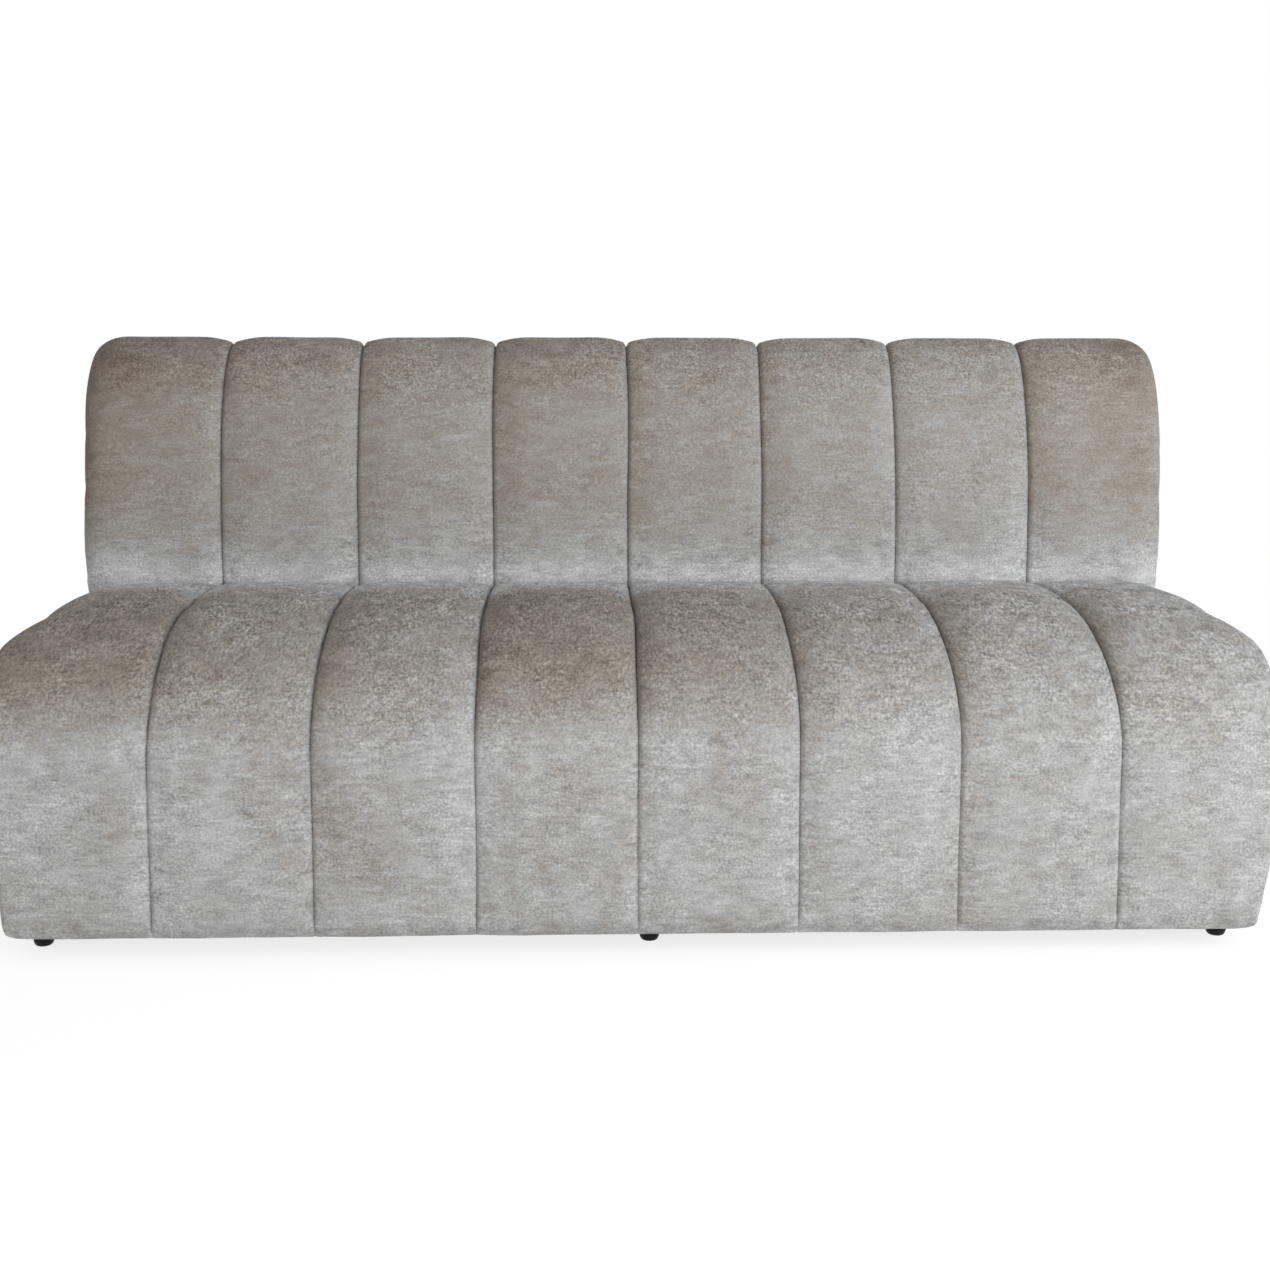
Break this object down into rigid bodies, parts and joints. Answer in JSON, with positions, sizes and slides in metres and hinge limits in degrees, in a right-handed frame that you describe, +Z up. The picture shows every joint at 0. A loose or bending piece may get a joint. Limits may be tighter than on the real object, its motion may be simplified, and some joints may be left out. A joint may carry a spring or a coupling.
{
  "type": "dining sofa",
  "caption": "Armless dining sofa: vertical stuffed channels run up the back and over the rounded seat front, taupe-grey velvet cover, wooden frame, sprung seat, small round black feet.",
  "frame": {"origin": "floor level under the middle of the sofa's box", "axes": "+X along the sofa to the sitter's left, as seen from the front to the right; +Y from the front edge to the rear face; +Z up"},
  "size_m": [1.816, 0.74, 0.866],
  "materials": {
    "velvet": "matte",
    "dust_cover": "matte",
    "foot_plastic": "satin",
    "felt": "matte",
    "foam": "matte",
    "spring_steel": "satin",
    "pine": "matte",
    "hardboard": "matte",
    "plywood": "matte"
  },
  "bodies": {
    "root": {"back_channel_1": "velvet", "back_channel_2": "velvet", "back_channel_3": "velvet", "back_channel_4": "velvet", "back_channel_5": "velvet", "back_channel_6": "velvet", "back_channel_7": "velvet", "back_channel_8": "velvet", "back_end_panel_left": "velvet", "back_end_panel_right": "velvet", "back_foam_core": "foam", "back_lower_rail": "pine", "back_post_centre": "pine", "back_post_left": "pine", "back_post_right": "pine", "back_support_board": "hardboard", "back_top_rail": "pine", "base_end_panel_left": "velvet", "base_end_panel_right": "velvet", "centre_divider": "plywood", "dust_cover": "dust_cover", "foot_front_left": "foot_plastic", "foot_front_middle": "foot_plastic", "foot_front_right": "foot_plastic", "foot_rear_left": "foot_plastic", "foot_rear_middle": "foot_plastic", "foot_rear_right": "foot_plastic", "front_board": "plywood", "front_bottom_rail": "pine", "front_spring_rail": "pine", "outer_back_board": "hardboard", "rear_bottom_rail": "pine", "rear_panel": "velvet", "rear_spring_rail": "pine", "seat_channel_1": "velvet", "seat_channel_2": "velvet", "seat_channel_3": "velvet", "seat_channel_4": "velvet", "seat_channel_5": "velvet", "seat_channel_6": "velvet", "seat_channel_7": "velvet", "seat_channel_8": "velvet", "seat_foam_core": "foam", "seat_spring_1": "spring_steel", "seat_spring_2": "spring_steel", "seat_spring_3": "spring_steel", "seat_spring_4": "spring_steel", "seat_spring_5": "spring_steel", "seat_spring_6": "spring_steel", "seat_spring_7": "spring_steel", "seat_spring_8": "spring_steel", "side_board_left": "plywood", "side_board_right": "plywood", "spring_felt": "felt"}
  },
  "joints": []
}
